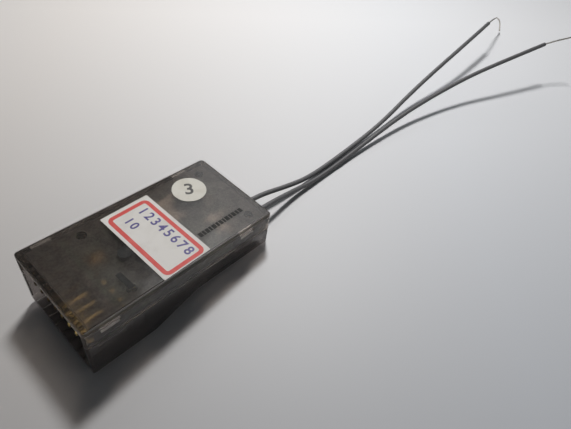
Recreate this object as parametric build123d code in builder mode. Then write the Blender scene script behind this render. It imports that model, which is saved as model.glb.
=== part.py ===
from build123d import *
from math import atan, atan2, degrees, pi, radians, tan
import os

# Radio control receiver, lying with its stepped face down and its flat back up.
# All sizes are in millimetres.
#
# Every piece is drawn in the case's own frame: X runs along the case from the servo
# sockets to the aerials, Y across it, Z up from the deep face to the flat back.
# The deep face is shorter than half the case, so the real case tips onto the end of
# its thin part. finish() turns each finished piece into that resting position.

# Case, outside
case_length = 47.3
case_width = 24.8
case_height = 14.2
lid_height = 4.45
thin_height = 9.9
deep_length = 14.35
ramp_length = 11.3
case_wall = 1.2
base_wall = 1.3
back_plate = 1.1
base_inset = 0.15
foot_round = 0.6
back_round = 0.45
aerial_corner_round = 1.1
socket_corner_round = 0.8
edge_ease = 0.4

# Snap catches that hold the two halves together
snap_socket_inset = 5.2
snap_aerial_inset = 7.75
snap_window_length = 4.1
snap_window_height = 1.0
snap_window_drop = 1.2
snap_tongue_width = 6.0
snap_tongue_thickness = 0.8
snap_tongue_rise = 3.2
snap_root = 2.5
snap_clearance = 0.1
catch_recess = 0.35
catch_slope = 0.6

# Mouth for the servo plugs
mouth_lip_inset = 0.2
mouth_lip_length = 1.6
mouth_lip_drop = 0.4
key_slot_width = 0.9
key_slot_depth = 0.5
key_slot_length = 5.5

# Boards
board_thickness = 1.0
board_corner_round = 0.6
board_side_gap = 1.0
board_end_gap = 0.5
post_radius = 1.1
stud_radius = 0.6
stud_clearance = 0.12
stud_rise = 0.9
post_inset_y = 1.2
rear_post_inset = 2.4
pillar_clearance = 0.1
front_post_inset = 3.3
header_board_inset = 8.25
header_board_thickness = 1.2
header_board_drop = 8.4
ceiling_gap = 0.2

# Servo header, three rows of square pins
pin_rows = 3
pin_pitch = 2.54
pin_side = 0.64
pin_reach = 5.3
pin_tail = 0.9
pin_point = 0.15
top_row_drop = 1.25
insulator_length = 1.6
insulator_height = 2.4
insulator_bevel = 0.3

# Parts on the main board
can_size = (9.0, 7.6, 1.9)
can_wall = 0.2
can_corner_round = 0.5
can_fold_round = 0.15
chip_side = 5.0
chip_height = 1.1
chip_bevel = 0.15
chip_leads = 8
chip_dot_inset = 1.8
chip_dot_radius = 0.35
chip_dot_depth = 0.1
chip_lead_pitch = 0.5
chip_lead_width = 0.22
chip_lead_reach = 0.7
chip_lead_thickness = 0.15
radio_chip_side = 4.0
radio_chip_height = 0.85
crystal_size = (3.2, 2.5, 0.8)
regulator_size = (3.5, 6.5, 1.6)
regulator_tab = (1.8, 3.0, 0.4)
tantalum_size = (3.5, 2.8, 1.9)
tantalum_bevel = 0.2
inductor_side = 3.0
inductor_height = 1.5
inductor_bevel = 0.3
filter_size = (2.8, 2.6, 1.2)
lamp_size = (1.6, 0.9, 0.7)
reservoir_radius = 2.5
reservoir_round = 0.4
reservoir_floor_gap = 1.15
reservoir_inset = 4.8
small_part_size = (0.5, 1.0, 0.45)
small_part_step = 1.3
lamp_inset = 2.2
tantalum_inset = 2.9
lamp_row_gap = 0.15
lamp_column_gap = 0.5
regulator_bevel = 0.25
regulator_leg_width = 0.7
regulator_leg_pitch = 2.3

# Places on the main board, as shares of its length and of its half width
can_place = (0.6, 0.49)
chip_place = (0.26, -0.15)
crystal_place = (0.335, 0.54)
inductor_place = (0.212, 0.62)
filter_place = (0.875, 0.27)
tantalum_radio_place = (0.324, -0.74)
regulator_place = (0.528, -0.52)
middle_row_place = (0.392, -0.09)

# Aerial leads and their small coaxial connectors
lead_diameter = 1.25
lead_hole_clearance = 0.1
lead_edge_inset = 3.05
lead_spacing = 3.85
lead_axis_above_board = 0.85
coax_base_side = 2.6
coax_base_height = 0.35
coax_ring_radius = 0.95
coax_ring_height = 0.6
coax_cap_radius = 1.3
coax_cap_height = 1.0
coax_barrel_radius = 0.8
coax_barrel_length = 2.4
coax_inset = 8.25
matching_gap = 2.0
matching_inset = 2.05
coax_post_radius = 0.35
coax_post_height = 0.4
aerial_wire_diameter = 0.5
lead_straight_start = 5.0

# Labels
label_length = 11.9
label_edge_gap = 1.7
label_center = (-0.4, -0.95)
label_turn = 1.5
label_corner_round = 0.25
label_thickness = 0.12
plate_corner_round = 0.8
dot_inset = (9.8, 6.95)
dot_radius = 4.0
dot_thickness = 0.1
front_plate_end_inset = 2.6
front_plate_ramp_gap = 1.55
front_plate_side_inset = 3.4
front_plate_thickness = 0.12
pocket_extra = 0.15

os.makedirs("parts", exist_ok=True)

# Heights and ends that several pieces share
half_length = case_length / 2
half_width = case_width / 2
split_z = case_height - lid_height
ceiling_z = case_height - back_plate
lid_inner_half_width = half_width - case_wall
base_half_width = half_width - base_inset
base_inner_half_width = base_half_width - base_wall
inner_end_x = half_length - case_wall
step_height = case_height - thin_height
ramp_start_x = -half_length + deep_length
ramp_end_x = ramp_start_x + ramp_length
ramp_angle = atan(step_height / ramp_length)
inner_shift = base_wall * tan(ramp_angle / 2)
thin_floor_z = step_height + base_wall
board_top_z = split_z - lead_axis_above_board
board_bottom_z = board_top_z - board_thickness
header_board_x = -half_length + header_board_inset
board_start_x = header_board_x + header_board_thickness / 2
board_end_x = inner_end_x - board_end_gap
board_length = board_end_x - board_start_x
board_half_width = base_inner_half_width - board_side_gap
snap_x = (-half_length + snap_socket_inset, half_length - snap_aerial_inset)
lead_b_y = -board_half_width + lead_edge_inset
lead_a_y = lead_b_y + lead_spacing
coax_socket_x = inner_end_x - coax_inset
pin_columns = int(2 * base_inner_half_width / pin_pitch)
front_post_x = board_start_x + front_post_inset
tongue_outer_y = lid_inner_half_width - snap_clearance
window_z = case_height - snap_window_drop - snap_window_height / 2
past = 1.0


def lead_points(end_y, points):
    """A lead's route on the table: straight out of its hole, then the points given."""
    start = Vector(half_length, end_y, split_z)
    first = Vector(half_length + lead_straight_start, end_y, split_z)
    laid = [resting * Location(point) for point in (start, first)]
    return [place.position for place in laid] + [Vector(*point) for point in points]


def corner_radii(points):
    """The largest tangent arc at each corner that its two runs allow."""
    radii = []
    for before, corner, after in zip(points, points[1:], points[2:]):
        turn = (corner - before).get_angle(after - corner)
        shorter = min((corner - before).length, (after - corner).length)
        radii.append(0.45 * shorter / tan(radians(turn) / 2))
    return radii


def finish(part, name):
    """Lay a finished piece down as the receiver rests, label it and write its file."""
    piece = part.moved(resting)
    piece.label = name
    export_step(piece, f"parts/{name}.step")
    return piece


def on_board(along, across):
    """A place on the main board, as shares of its length and of its half width."""
    return (board_start_x + along * board_length, across * board_half_width)


# Case base: a deep shell whose lower face steps up to the thin part
base_outline = [
    (-half_length, 0),
    (ramp_start_x, 0),
    (ramp_end_x, step_height),
    (half_length, step_height),
    (half_length, split_z),
    (-half_length, split_z),
]
cavity_outline = [
    (-half_length - past, base_wall),
    (ramp_start_x - inner_shift, base_wall),
    (ramp_end_x - inner_shift, thin_floor_z),
    (inner_end_x, thin_floor_z),
    (inner_end_x, split_z + past),
    (-half_length - past, split_z + past),
]
post_y = board_half_width - post_inset_y
rear_post_x = board_end_x - rear_post_inset
post_floors = {front_post_x: base_wall, rear_post_x: thin_floor_z}
front_plate_size = (
    half_length - front_plate_end_inset - ramp_end_x - front_plate_ramp_gap,
    case_width - 2 * front_plate_side_inset,
)
front_plate_center_x = half_length - front_plate_end_inset - front_plate_size[0] / 2
pin_ys = [(column - (pin_columns - 1) / 2) * pin_pitch for column in range(pin_columns)]

# The side outline is drawn flat here and stood up in the case's frame below
with BuildSketch() as side_outline:
    with BuildLine():
        Polyline(*base_outline, close=True)
    make_face()
    resting_corners = [
        corner
        for corner in side_outline.vertices()
        if corner.Y < split_z - past and corner.X > ramp_start_x - past
        if abs(corner.X - ramp_end_x) > past
    ]
    fillet(resting_corners, foot_round)

with BuildSketch() as plan_outline:
    Rectangle(case_length, case_width)
    fillet(plan_outline.vertices().group_by(Axis.X)[-1], aerial_corner_round)
    fillet(plan_outline.vertices().group_by(Axis.X)[0], socket_corner_round)

with BuildPart() as case_base:
    with BuildSketch(Plane.XZ):
        add(side_outline.sketch_local)
    extrude(amount=base_half_width - edge_ease)
    with BuildSketch(Plane.XZ.offset(base_half_width - edge_ease)):
        add(side_outline.sketch_local)
    extrude(amount=edge_ease, taper=45)
    mirror(about=Plane.XZ)
    with BuildSketch():
        add(plan_outline.sketch_local)
    extrude(amount=case_height, mode=Mode.INTERSECT)
    with BuildSketch(Plane.XZ):
        with BuildLine():
            Polyline(*cavity_outline, close=True)
        make_face()
    extrude(amount=base_inner_half_width, both=True, mode=Mode.SUBTRACT)
    # Posts that carry the main board, each with a locating stud
    for post_x, floor_z in post_floors.items():
        with BuildSketch(Plane.XY.offset(floor_z - base_wall / 2)):
            with Locations((post_x, post_y), (post_x, -post_y)):
                Circle(post_radius)
        extrude(amount=board_bottom_z - floor_z + base_wall / 2)
        with BuildSketch(Plane.XY.offset(board_bottom_z)):
            with Locations((post_x, post_y), (post_x, -post_y)):
                Circle(stud_radius)
        extrude(amount=board_thickness + stud_rise)
    # Snap tongues rise inside the lid's skirt and carry the catches
    for side in (-1, 1):
        tongue_y = side * (tongue_outer_y - snap_tongue_thickness / 2)
        catch_reach = half_width - catch_recess - tongue_outer_y
        catch_y = side * (tongue_outer_y + catch_reach / 2)
        with BuildSketch(Plane.XY.offset(split_z - snap_root)):
            with Locations(*[(x, tongue_y) for x in snap_x]):
                Rectangle(snap_tongue_width, snap_tongue_thickness)
        extrude(amount=snap_root + snap_tongue_rise)
        catch_height = snap_window_height - 2 * snap_clearance
        with BuildSketch(Plane.XY.offset(window_z - catch_height / 2)):
            with Locations(*[(x, catch_y) for x in snap_x]):
                Rectangle(snap_window_length - 2 * snap_clearance, catch_reach + 0.02)
        extrude(amount=catch_height)
    # Each catch slopes on its upper side, so that the lid's skirt rides over it
    catch_tops = [
        edge
        for edge in case_base.edges().filter_by(Axis.X)
        if abs(edge.center().Z - window_z - catch_height / 2) < snap_clearance
        if abs(abs(edge.center().Y) - half_width + catch_recess) < snap_clearance
    ]
    chamfer(catch_tops, catch_slope)
    # Key slots for the polarity ribs of the plugs
    with BuildSketch(Plane.XY.offset(base_wall - key_slot_depth)):
        with Locations(*[(-half_length + key_slot_length / 2, y) for y in pin_ys]):
            Rectangle(key_slot_length, key_slot_width)
    extrude(amount=key_slot_depth + past / 2, mode=Mode.SUBTRACT)
    # Lower half of the two holes for the aerial leads
    hole_radius = lead_diameter / 2 + lead_hole_clearance
    with BuildSketch(Plane.YZ.offset(inner_end_x - past)):
        with Locations((lead_a_y, split_z), (lead_b_y, split_z)):
            Circle(hole_radius)
    extrude(amount=case_wall + 2 * past, mode=Mode.SUBTRACT)
    # Shallow pocket for the plate on the stepped face
    with BuildSketch(Plane.XY.offset(step_height)):
        with Locations((front_plate_center_x, 0)):
            RectangleRounded(
                front_plate_size[0] + pocket_extra * 2,
                front_plate_size[1] + pocket_extra * 2,
                plate_corner_round,
            )
    extrude(amount=front_plate_thickness, mode=Mode.SUBTRACT)

# Case lid: the flat back with a short skirt, open at the servo sockets
with BuildPart() as case_lid:
    with BuildSketch(Plane.XY.offset(split_z)):
        add(plan_outline.sketch_local)
    extrude(amount=lid_height)
    fillet(case_lid.faces().sort_by(Axis.Z)[-1].edges(), back_round)
    with BuildSketch(Plane.XY.offset(split_z - past)):
        with Locations(((-half_length - past + inner_end_x) / 2, 0)):
            Rectangle(inner_end_x + half_length + past, 2 * lid_inner_half_width)
    extrude(amount=ceiling_z - split_z + past, mode=Mode.SUBTRACT)
    # Lip across the mouth
    with BuildSketch(Plane.XY.offset(ceiling_z - mouth_lip_drop)):
        with Locations((-half_length + mouth_lip_inset + mouth_lip_length / 2, 0)):
            Rectangle(mouth_lip_length, 2 * lid_inner_half_width + case_wall / 4)
    extrude(amount=mouth_lip_drop + back_plate / 2)
    # Windows for the snap catches
    with BuildSketch(Plane.XZ):
        with Locations(*[(x, window_z) for x in snap_x]):
            Rectangle(snap_window_length, snap_window_height)
    extrude(amount=half_width + past, both=True, mode=Mode.SUBTRACT)
    # Upper half of the lead holes
    with BuildSketch(Plane.YZ.offset(inner_end_x - past)):
        with Locations((lead_a_y, split_z), (lead_b_y, split_z)):
            Circle(lead_diameter / 2 + lead_hole_clearance)
    extrude(amount=case_wall + 2 * past, mode=Mode.SUBTRACT)
    # Pillars that keep the main board down on its posts
    pillar_foot_z = board_top_z + stud_rise + pillar_clearance
    with BuildSketch(Plane.XY.offset(pillar_foot_z)):
        with Locations(*[(x, side * post_y) for x in post_floors for side in (-1, 1)]):
            Circle(post_radius)
    extrude(amount=ceiling_z - pillar_foot_z + back_plate / 2)
    with BuildSketch(Plane.XY.offset(board_top_z + pillar_clearance)):
        with Locations(*[(x, side * post_y) for x in post_floors for side in (-1, 1)]):
            Circle(post_radius)
            Circle(stud_radius + stud_clearance, mode=Mode.SUBTRACT)
    extrude(amount=stud_rise)

# The case tips about the edge of its deep face until the end of the thin part lands.
# The origin is under the middle of the tipped case.
rest_run = half_length - ramp_start_x - foot_round + foot_round * tan(ramp_angle / 2)
rest_angle = degrees(atan2(step_height, rest_run))
tipped = Location((0, 0, 0), (0, rest_angle, 0))
base_box = case_base.part.moved(tipped).bounding_box()
lid_box = case_lid.part.moved(tipped).bounding_box()
middle_x = (min(base_box.min.X, lid_box.min.X) + max(base_box.max.X, lid_box.max.X)) / 2
resting = Location((-middle_x, 0, -base_box.min.Z), (0, rest_angle, 0))

# Main board, with a hole over each stud
with BuildPart() as main_board:
    with BuildSketch(Plane.XY.offset(board_bottom_z)):
        with Locations(((board_start_x + board_end_x) / 2, 0)):
            RectangleRounded(board_length, 2 * board_half_width, board_corner_round)
        with Locations(*[(x, side * post_y) for x in post_floors for side in (-1, 1)]):
            Circle(stud_radius + stud_clearance, mode=Mode.SUBTRACT)
    extrude(amount=board_thickness)

# Upright board that carries the servo header
row_zs = [ceiling_z - top_row_drop - row * pin_pitch for row in range(pin_rows)]
header_top_z = ceiling_z - ceiling_gap
with BuildPart() as header_board:
    with BuildSketch(Plane.YZ.offset(header_board_x - header_board_thickness / 2)):
        with Locations((0, header_top_z - header_board_drop / 2)):
            Rectangle(2 * board_half_width, header_board_drop)
        with Locations(*[(y, z) for y in pin_ys for z in row_zs]):
            Rectangle(pin_side, pin_side, mode=Mode.SUBTRACT)
    extrude(amount=header_board_thickness)

# Header rows: a black strip and eight gold pins each
header_face_x = header_board_x - header_board_thickness / 2
row_names = ("signal", "power", "ground")
header_strips = {}
header_pins = {}
for row_name, row_z in zip(row_names, row_zs):
    with BuildPart() as strip:
        with BuildSketch(Plane.YZ.offset(header_face_x - insulator_length)):
            with Locations((0, row_z)):
                Rectangle(pin_columns * pin_pitch, insulator_height)
            with Locations(*[(y, row_z) for y in pin_ys]):
                Rectangle(pin_side, pin_side, mode=Mode.SUBTRACT)
        extrude(amount=insulator_length)
        mouth_edges = strip.edges().filter_by(Axis.Y).group_by(Axis.X)[0]
        chamfer(mouth_edges.group_by(Axis.Z)[-1], insulator_bevel)
    header_strips[f"{row_name}_strip"] = strip.part
    with BuildPart() as pins:
        pin_start_x = header_face_x - insulator_length - pin_reach
        pin_length = pin_reach + insulator_length + header_board_thickness + pin_tail
        for y in pin_ys:
            with BuildSketch(Plane.YZ.offset(pin_start_x)):
                with Locations((y, row_z)):
                    Rectangle(pin_side, pin_side)
            extrude(amount=pin_length)
        tips = pins.faces().filter_by(Axis.X).group_by(Axis.X)[0]
        chamfer(tips.edges(), pin_point)
    header_pins[f"{row_name}_pins"] = pins.part


def block_on_board(center, size, top_chamfer=0.0):
    """A rectangular part that stands on the upper side of the main board."""
    with BuildPart() as block:
        with BuildSketch(Plane.XY.offset(board_top_z)):
            with Locations(center):
                Rectangle(size[0], size[1])
        extrude(amount=size[2])
        if top_chamfer > 0:
            chamfer(block.faces().sort_by(Axis.Z)[-1].edges(), top_chamfer)
    return block.part


# Folded metal can over the radio stage
can_center = on_board(*can_place)
with BuildPart() as shield_can:
    with BuildSketch(Plane.XY.offset(board_top_z)):
        with Locations(can_center):
            RectangleRounded(can_size[0], can_size[1], can_corner_round)
    extrude(amount=can_size[2])
    fillet(shield_can.faces().sort_by(Axis.Z)[-1].edges(), can_fold_round)
    with BuildSketch(Plane.XY.offset(board_top_z)):
        with Locations(can_center):
            Rectangle(can_size[0] - 2 * can_wall, can_size[1] - 2 * can_wall)
    extrude(amount=can_size[2] - can_wall, mode=Mode.SUBTRACT)

# Radio chip under the can
radio_chip = block_on_board(can_center, (radio_chip_side, radio_chip_side, radio_chip_height), chip_bevel)

# Microcontroller: body with a pin-one dimple, and its four rows of legs
chip_center = on_board(*chip_place)
with BuildPart() as microcontroller:
    with BuildSketch(Plane.XY.offset(board_top_z + chip_lead_thickness)):
        with Locations(chip_center):
            Rectangle(chip_side, chip_side)
    extrude(amount=chip_height)
    chamfer(microcontroller.faces().sort_by(Axis.Z)[-1].edges(), chip_bevel)
    with BuildSketch(Plane.XY.offset(board_top_z + chip_lead_thickness + chip_height)):
        with Locations((chip_center[0] - chip_dot_inset, chip_center[1] - chip_dot_inset)):
            Circle(chip_dot_radius)
    extrude(amount=-chip_dot_depth, mode=Mode.SUBTRACT)
    leg_run = chip_side + 2 * chip_lead_reach
    leg_ys = [(leg - (chip_leads - 1) / 2) * chip_lead_pitch for leg in range(chip_leads)]
    with BuildSketch(Plane.XY.offset(board_top_z)):
        with Locations(*[(chip_center[0], chip_center[1] + y) for y in leg_ys]):
            Rectangle(leg_run, chip_lead_width)
        with Locations(*[(chip_center[0] + y, chip_center[1]) for y in leg_ys]):
            Rectangle(chip_lead_width, leg_run)
    extrude(amount=chip_lead_thickness)

crystal = block_on_board(on_board(*crystal_place), crystal_size, chip_bevel)
inductor_size = (inductor_side, inductor_side, inductor_height)
inductor = block_on_board(on_board(*inductor_place), inductor_size, inductor_bevel)
band_filter = block_on_board(on_board(*filter_place), filter_size, chip_bevel)
lamp_x = board_start_x + lamp_inset
lamp_row_y = post_y - post_radius - lamp_row_gap - small_part_size[1] / 2
lamp_y = lamp_row_y - small_part_size[1] / 2 - lamp_column_gap - lamp_size[1] / 2
status_lamp = block_on_board((lamp_x, lamp_y), lamp_size, chip_bevel)
input_y = lamp_y - lamp_size[1] / 2 - lamp_column_gap - tantalum_size[1] / 2
input_place = (board_start_x + tantalum_inset, input_y)
tantalum_input = block_on_board(input_place, tantalum_size, tantalum_bevel)
tantalum_radio = block_on_board(on_board(*tantalum_radio_place), tantalum_size, tantalum_bevel)

# Voltage regulator with its cooling tab
regulator_center = on_board(*regulator_place)
with BuildPart() as voltage_regulator:
    with BuildSketch(Plane.XY.offset(board_top_z)):
        with Locations(regulator_center):
            Rectangle(regulator_size[0], regulator_size[1])
    extrude(amount=regulator_size[2])
    chamfer(voltage_regulator.faces().sort_by(Axis.Z)[-1].edges(), regulator_bevel)
    tab_x = regulator_center[0] + regulator_size[0] / 2 + regulator_tab[0] / 2
    leg_x = regulator_center[0] - regulator_size[0] / 2 - regulator_tab[0] / 2
    leg_rows = [regulator_center[1] + step * regulator_leg_pitch for step in (-1, 0, 1)]
    with BuildSketch(Plane.XY.offset(board_top_z)):
        with Locations((tab_x, regulator_center[1])):
            Rectangle(regulator_tab[0], regulator_tab[1])
        with Locations(*[(leg_x, y) for y in leg_rows]):
            Rectangle(regulator_tab[0], regulator_leg_width)
    extrude(amount=regulator_tab[2])

# Chip resistors and capacitors in three short rows
small_part_rows = {
    (lamp_x - small_part_step / 2, lamp_row_y): 2,
    on_board(*middle_row_place): 3,
    (coax_socket_x - matching_inset, lead_a_y + matching_gap): 3,
}
with BuildPart() as chip_parts:
    with BuildSketch(Plane.XY.offset(board_top_z)):
        for (row_x, row_y), count in small_part_rows.items():
            with Locations(*[(row_x + step * small_part_step, row_y) for step in range(count)]):
                Rectangle(small_part_size[0], small_part_size[1])
    extrude(amount=small_part_size[2])

# Reservoir capacitor hangs under the board, in the deep part
reservoir_height = board_bottom_z - base_wall - reservoir_floor_gap
with BuildPart() as reservoir_capacitor:
    with BuildSketch(Plane.XY.offset(board_bottom_z - reservoir_height)):
        with Locations((board_start_x + reservoir_inset, 0)):
            Circle(reservoir_radius)
    extrude(amount=reservoir_height)
    fillet(reservoir_capacitor.faces().sort_by(Axis.Z)[0].edges(), reservoir_round)

# Coaxial sockets on the board, the plugs on them, and the leads inside the case
coax_pieces = {}
plug_base_z = board_top_z + coax_base_height
for letter, lead_y in (("a", lead_a_y), ("b", lead_b_y)):
    with BuildPart() as socket:
        with BuildSketch(Plane.XY.offset(board_top_z)):
            with Locations((coax_socket_x, lead_y)):
                Rectangle(coax_base_side, coax_base_side)
        extrude(amount=coax_base_height)
        with BuildSketch(Plane.XY.offset(plug_base_z)):
            with Locations((coax_socket_x, lead_y)):
                Circle(coax_post_radius)
        extrude(amount=coax_post_height)
    with BuildPart() as plug:
        with BuildSketch(Plane.XY.offset(plug_base_z)):
            with Locations((coax_socket_x, lead_y)):
                Circle(coax_cap_radius)
        extrude(amount=coax_cap_height)
        with BuildSketch(Plane.YZ.offset(coax_socket_x)):
            with Locations((lead_y, split_z)):
                Circle(coax_barrel_radius)
        extrude(amount=coax_cap_radius + coax_barrel_length)
        with BuildSketch(Plane.XY.offset(board_top_z)):
            with Locations((coax_socket_x, lead_y)):
                Rectangle(3 * coax_base_side, 2 * coax_base_side)
        extrude(amount=coax_base_height, mode=Mode.SUBTRACT)
        with BuildSketch(Plane.XY.offset(plug_base_z)):
            with Locations((coax_socket_x, lead_y)):
                Circle(coax_ring_radius)
        extrude(amount=coax_ring_height, mode=Mode.SUBTRACT)
    tail_start_x = coax_socket_x + coax_cap_radius + coax_barrel_length
    with BuildPart() as tail:
        with BuildSketch(Plane.YZ.offset(tail_start_x)):
            with Locations((lead_y, split_z)):
                Circle(lead_diameter / 2)
        extrude(amount=half_length - tail_start_x)
    coax_pieces[f"coax_socket_{letter}"] = socket.part
    coax_pieces[f"coax_plug_{letter}"] = plug.part
    coax_pieces[f"coax_tail_{letter}"] = tail.part

# Paper label and round sticker on the flat back
with BuildPart() as back_label:
    with BuildSketch(Plane.XY.offset(case_height)):
        with Locations(Location((*label_center, 0), label_turn)):
            RectangleRounded(label_length, case_width - 2 * label_edge_gap, label_corner_round)
    extrude(amount=label_thickness)
with BuildPart() as round_sticker:
    with BuildSketch(Plane.XY.offset(case_height)):
        with Locations((half_length - dot_inset[0], half_width - dot_inset[1])):
            Circle(dot_radius)
    extrude(amount=dot_thickness)

# Bare plate in its pocket on the stepped face
with BuildPart() as front_plate:
    with BuildSketch(Plane.XY.offset(step_height)):
        with Locations((front_plate_center_x, 0)):
            RectangleRounded(front_plate_size[0], front_plate_size[1], plate_corner_round)
    extrude(amount=front_plate_thickness)

pieces = {
    "case_base": case_base.part,
    "case_lid": case_lid.part,
    "main_board": main_board.part,
    "header_board": header_board.part,
    **header_strips,
    **header_pins,
    "shield_can": shield_can.part,
    "radio_chip": radio_chip,
    "microcontroller": microcontroller.part,
    "crystal": crystal,
    "inductor": inductor,
    "band_filter": band_filter,
    "status_lamp": status_lamp,
    "tantalum_input": tantalum_input,
    "tantalum_radio": tantalum_radio,
    "voltage_regulator": voltage_regulator.part,
    "chip_parts": chip_parts.part,
    "reservoir_capacitor": reservoir_capacitor.part,
    **coax_pieces,
    "back_label": back_label.part,
    "round_sticker": round_sticker.part,
    "front_plate": front_plate.part,
}
for name, part in pieces.items():
    finish(part, name)

# The two aerial leads lie on the table and spring up; each ends in a bare wire
lead_a_route = lead_points(
    lead_a_y,
    [
        (38.8, -5.1, 2.6),
        (45.7, -5.9, 1.3),
        (55.4, -6.2, 0.9),
        (71.0, -6.6, 1.5),
        (80.7, -6.5, 2.3),
        (93.4, -5.9, 4.3),
        (107.1, -6.4, 7.6),
        (122.7, -6.8, 10.2),
        (141.9, -5.7, 10.6),
    ],
)
lead_b_route = lead_points(
    lead_b_y,
    [
        (37.9, -6.8, 2.2),
        (44.9, -7.5, 1.0),
        (54.0, -7.9, 0.8),
        (64.8, -8.3, 1.4),
        (75.9, -9.0, 2.6),
        (87.0, -10.2, 4.0),
        (100.0, -12.9, 6.0),
        (112.2, -16.5, 8.4),
        (123.2, -21.0, 10.8),
        (138.8, -26.9, 13.2),
    ],
)
wire_a_route = [
    lead_a_route[-1],
    Vector(147.5, -5.0, 9.8),
    Vector(154.4, -4.1, 7.8),
    Vector(158.7, -4.5, 4.6),
    Vector(159.9, -5.3, 0.8),
]
wire_b_route = [
    lead_b_route[-1],
    Vector(142.5, -29.2, 14.1),
    Vector(146.3, -32.0, 15.0),
]


def lead_tube(route, diameter):
    """A tube along a route of straight runs and the largest tangent arcs."""
    radii = corner_radii(route)
    with BuildPart() as tube:
        with BuildLine() as path:
            FilletPolyline(*route, radius=radii)
        start_plane = Plane(origin=route[0], z_dir=route[1] - route[0])
        with BuildSketch(start_plane):
            Circle(diameter / 2)
        sweep(path=path.wires()[0])
    length = path.wires()[0].length
    section = pi * (diameter / 2) ** 2
    print("radii", [round(radius, 1) for radius in radii])
    print("length", round(length, 2), "volume", round(tube.part.volume, 3), round(section * length, 3))
    return tube.part


for letter, lead_route, wire_route in (
    ("a", lead_a_route, wire_a_route),
    ("b", lead_b_route, wire_b_route),
):
    lead = lead_tube(lead_route, lead_diameter)
    lead.label = f"aerial_lead_{letter}"
    export_step(lead, f"parts/aerial_lead_{letter}.step")
    wire = lead_tube(wire_route, aerial_wire_diameter)
    wire.label = f"aerial_wire_{letter}"
    export_step(wire, f"parts/aerial_wire_{letter}.step")
print("resting angle", round(rest_angle, 3), "origin", resting.position)
print("lead starts", lead_a_route[:2], lead_b_route[:2])
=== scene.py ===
# %% [markdown]
# # A small radio receiver with a smoke-clear case
#
# The object is a matchbox-sized radio control receiver. It lies with its stepped face down
# and tips onto the end of its thin part, because its deep face is shorter than half of the
# case. The CAD model gives every rigid part at its real size and place, in metres. This
# script gives the parts their surfaces, prints the labels and the back, adds two pale strips
# that paint the glint in the near snap windows, and draws the two aerial leads as smooth
# curves.

# %% Load the frame
import math

import bmesh
import bpy
from mathutils import Matrix, Vector


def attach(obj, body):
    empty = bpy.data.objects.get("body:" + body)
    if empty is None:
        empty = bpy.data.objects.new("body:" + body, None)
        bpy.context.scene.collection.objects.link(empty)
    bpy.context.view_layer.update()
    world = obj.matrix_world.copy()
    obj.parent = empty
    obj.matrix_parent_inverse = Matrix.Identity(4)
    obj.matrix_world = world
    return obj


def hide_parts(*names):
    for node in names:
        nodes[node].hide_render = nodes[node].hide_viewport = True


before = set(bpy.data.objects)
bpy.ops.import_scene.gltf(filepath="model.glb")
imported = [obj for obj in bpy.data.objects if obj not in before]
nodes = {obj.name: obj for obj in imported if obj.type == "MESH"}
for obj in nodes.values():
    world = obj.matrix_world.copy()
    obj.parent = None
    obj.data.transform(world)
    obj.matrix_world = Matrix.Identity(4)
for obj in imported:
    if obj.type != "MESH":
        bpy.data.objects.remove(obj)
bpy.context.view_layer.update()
print("parts in the frame:", len(nodes))

# %% [markdown]
# ## The case's own frame
#
# The flat back isn't level on the table, so anything printed on it would be awkward to
# place in world coordinates. The part's source draws every piece in the frame of the case
# (X along it, Z up from the deep face) and then tips the piece. The same tip is repeated
# here as one matrix. A new piece is modelled on the level case in millimetres, and its
# mesh is then moved by this matrix, so that its object stays at the origin.

# %% The tip of the case
MM = 0.001
TIP_ANGLE = math.radians(7.546)
TIP_ORIGIN = Vector((-0.904789, 0.0, -1.230590)) * MM
case_to_world = (
    Matrix.Translation(TIP_ORIGIN) @ Matrix.Rotation(TIP_ANGLE, 4, "Y") @ Matrix.Scale(MM, 4)
)
back_z = 14.2
print("middle of the flat back:", [round(v, 5) for v in case_to_world @ Vector((0, 0, back_z))])

# %% [markdown]
# ## The camera
#
# The camera was worked out from the corners of the case in the photograph. It stands close,
# about 11 cm from the case, which gives the strong perspective. Its axes are written out as
# directions, because that is how such a fit comes out, and they become the columns of the
# camera's matrix.

# %% Camera
camera_place = (-0.025761, -0.057950, 0.093211)
look = Vector((0.4847, 0.40161, -0.77703)).normalized()
right = Vector((0.68555, -0.72614, 0.05234))
right = (right - right.project(look)).normalized()
above = right.cross(look)
axes = Matrix((right, above, -look)).transposed().to_4x4()

camera_data = bpy.data.cameras.new("Camera")
camera_data.sensor_width = 36
camera_data.lens = 29.297
camera_data.clip_start = 0.002
camera_data.clip_end = 20
camera = bpy.data.objects.new("Camera", camera_data)
camera.matrix_world = Matrix.Translation(camera_place) @ axes
bpy.context.collection.objects.link(camera)
bpy.context.scene.camera = camera
print("camera height in mm:", round(camera.matrix_world.translation.z * 1000, 1))

# %% [markdown]
# ## The two aerial leads
#
# Each aerial is a thin, springy coaxial lead in a grey sheath, with its last stretch
# stripped to the bare wire. A sheathed lead has one length and one diameter, so it is best
# made as a curve with a round bevel. The points are those of the route in the part's source
# and the curve is smooth between them, so it never shows the corners of the route. It leaves
# its hole straight along the case, sags onto the table and springs up again to its end.
# The radius is given at each point and the bevel is 1, so the curve's own box is right too.

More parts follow.
